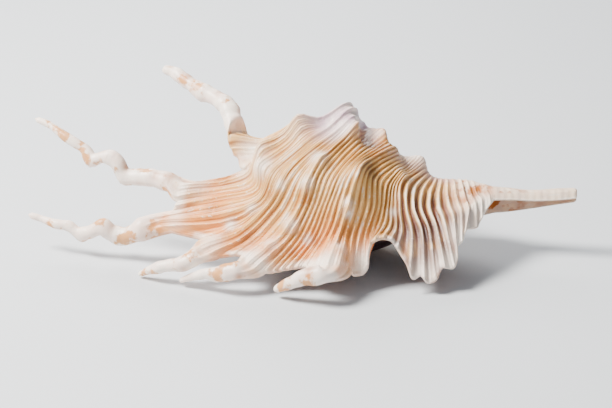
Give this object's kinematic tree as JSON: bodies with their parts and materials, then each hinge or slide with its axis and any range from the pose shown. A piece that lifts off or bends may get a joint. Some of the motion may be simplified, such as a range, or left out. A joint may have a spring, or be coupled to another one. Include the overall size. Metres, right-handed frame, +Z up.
{
  "type": "spider conch shell",
  "caption": "Spider conch seashell resting mouth down, with a ridged knobbed whorl, a flared lip with long curved spines and a tapering canal.",
  "frame": {"origin": "centre of the footprint box, on the surface the shell rests on", "axes": "+X along the shell towards the tip of its canal, +Y away from the flared lip, +Z up"},
  "size_m": [0.155, 0.065, 0.0475],
  "materials": {
    "shell": "ribbed shell, orange-brown and cream outside with pale lilac spines, orange to dark purple in the mouth; satin"
  },
  "bodies": {
    "root": {"shell": "shell"}
  },
  "joints": []
}
